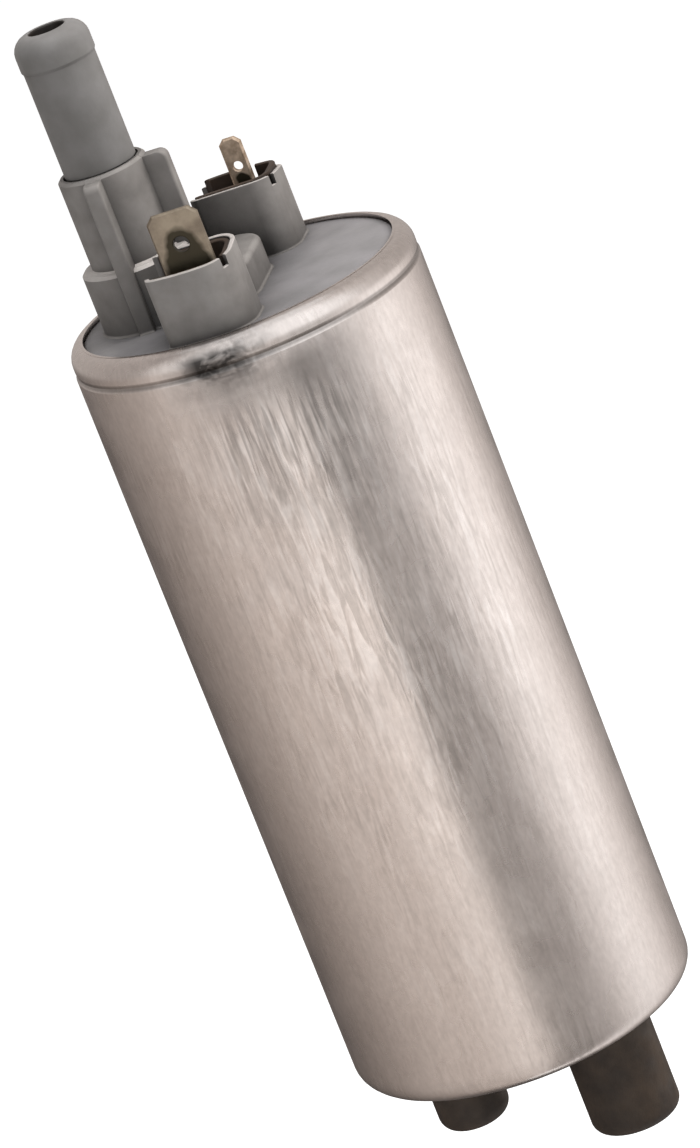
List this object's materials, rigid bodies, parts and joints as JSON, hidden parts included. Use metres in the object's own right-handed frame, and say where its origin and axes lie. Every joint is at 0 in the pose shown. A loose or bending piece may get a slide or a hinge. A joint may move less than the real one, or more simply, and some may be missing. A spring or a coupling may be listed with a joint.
{
  "type": "in-tank fuel pump",
  "caption": "Electric in-tank fuel pump: rotor pump and motor in a rolled steel can, with an inlet stub, an outlet nipple with a check valve and two blade terminals.",
  "frame": {"origin": "middle of the can's length on the can's axis", "axes": "+Z along the can's axis to the outlet end; +X towards the inlet stub, with the outlet tower on -X; the wide terminal stands on -Y and the narrow one on +Y"},
  "size_m": [0.043, 0.043, 0.1509],
  "materials": {
    "can_steel": "satin drawn steel",
    "stub_plastic": "matte brown-black moulding",
    "cap_plastic": "matte grey moulding",
    "nipple_plastic": "matte grey moulding",
    "liner_plastic": "matte dark brown",
    "terminal_brass": "dull plated",
    "bearing_steel": "ground",
    "spring_steel": "drawn wire",
    "seal_rubber": "matte",
    "slide_plastic": "semi-gloss ivory",
    "pump_iron": "machined",
    "rotor_iron": "sintered",
    "pump_alloy": "die cast",
    "bush_bronze": "sintered bronze",
    "core_steel": "blackened sheet",
    "winding_copper": "enamelled copper",
    "hub_plastic": "moulded brown",
    "segment_copper": "bare copper",
    "magnet_ferrite": "ferrite grey",
    "carrier_plastic": "matte natural",
    "brush_carbon": "carbon"
  },
  "bodies": {
    "housing": {"can": "can_steel", "inlet_cover": "stub_plastic", "relief_plug": "stub_plastic", "relief_spring": "spring_steel", "inlet_seal": "seal_rubber", "cap_seal": "seal_rubber", "thrust_button": "slide_plastic", "rotor_ring": "pump_iron", "port_plate": "pump_alloy", "dowel_pins": "bearing_steel", "lower_bush": "bush_bronze", "upper_bush": "bush_bronze", "flux_ring": "core_steel", "magnet_inlet_side": "magnet_ferrite", "magnet_outlet_side": "magnet_ferrite", "magnet_clip_front": "spring_steel", "magnet_clip_back": "spring_steel", "brush_carrier": "carrier_plastic", "brush_spring_front": "spring_steel", "brush_spring_back": "spring_steel", "choke_core_front": "magnet_ferrite", "choke_core_back": "magnet_ferrite", "choke_coil_front": "winding_copper", "choke_coil_back": "winding_copper", "choke_lead_front": "winding_copper", "choke_lead_back": "winding_copper", "brush_shunt_front": "winding_copper", "brush_shunt_back": "winding_copper", "outlet_cap": "cap_plastic", "terminal_liner_front": "liner_plastic", "terminal_liner_back": "liner_plastic", "terminal_front": "terminal_brass", "terminal_back": "terminal_brass", "outlet_nipple": "nipple_plastic", "check_valve_spring": "spring_steel"},
    "relief_valve": {"relief_ball": "bearing_steel"},
    "pump_ring": {"outer_rotor": "rotor_iron"},
    "armature": {"inner_rotor": "rotor_iron", "armature_shaft": "bearing_steel", "armature_core": "core_steel", "armature_windings": "winding_copper", "lower_thrust_washer": "slide_plastic", "spacer_sleeve": "slide_plastic", "upper_thrust_washer": "slide_plastic", "commutator_hub": "hub_plastic", "commutator_segments": "segment_copper"},
    "front_brush": {"brush_front": "brush_carbon"},
    "back_brush": {"brush_back": "brush_carbon"},
    "outlet_valve": {"check_valve_poppet": "slide_plastic", "check_valve_seal": "seal_rubber"}
  },
  "joints": [
    {"name": "armature_spin", "type": "hinge", "parent": "housing", "child": "armature", "pos_m": [0, 0, 0], "axis": [0, 0, 1], "continuous": true},
    {"name": "outer_rotor_spin", "type": "hinge", "parent": "housing", "child": "pump_ring", "pos_m": [0, 0.0012, 0], "axis": [0, 0, 1], "continuous": true},
    {"name": "outlet_valve_lift", "type": "slide", "parent": "housing", "child": "outlet_valve", "axis": [0, 0, 1], "range_m": [0, 0.002], "stiffness_N_per_m": 150, "springref_m": -0.002, "deforming": ["check_valve_spring"]},
    {"name": "relief_ball_lift", "type": "slide", "parent": "housing", "child": "relief_valve", "axis": [0, 0, -1], "range_m": [0, 0.0008], "stiffness_N_per_m": 2000, "springref_m": -0.002, "deforming": ["relief_spring"]},
    {"name": "front_brush_lift", "type": "slide", "parent": "housing", "child": "front_brush", "axis": [0, 0, 1], "range_m": [0, 0.0015], "stiffness_N_per_m": 200, "springref_m": -0.005, "deforming": ["brush_spring_front", "brush_shunt_front"]},
    {"name": "back_brush_lift", "type": "slide", "parent": "housing", "child": "back_brush", "axis": [0, 0, 1], "range_m": [0, 0.0015], "stiffness_N_per_m": 200, "springref_m": -0.005, "deforming": ["brush_spring_back", "brush_shunt_back"]}
  ],
  "couplings": [
    {"joint": "outer_rotor_spin", "follows": "armature_spin", "ratio": 0.85714}
  ]
}
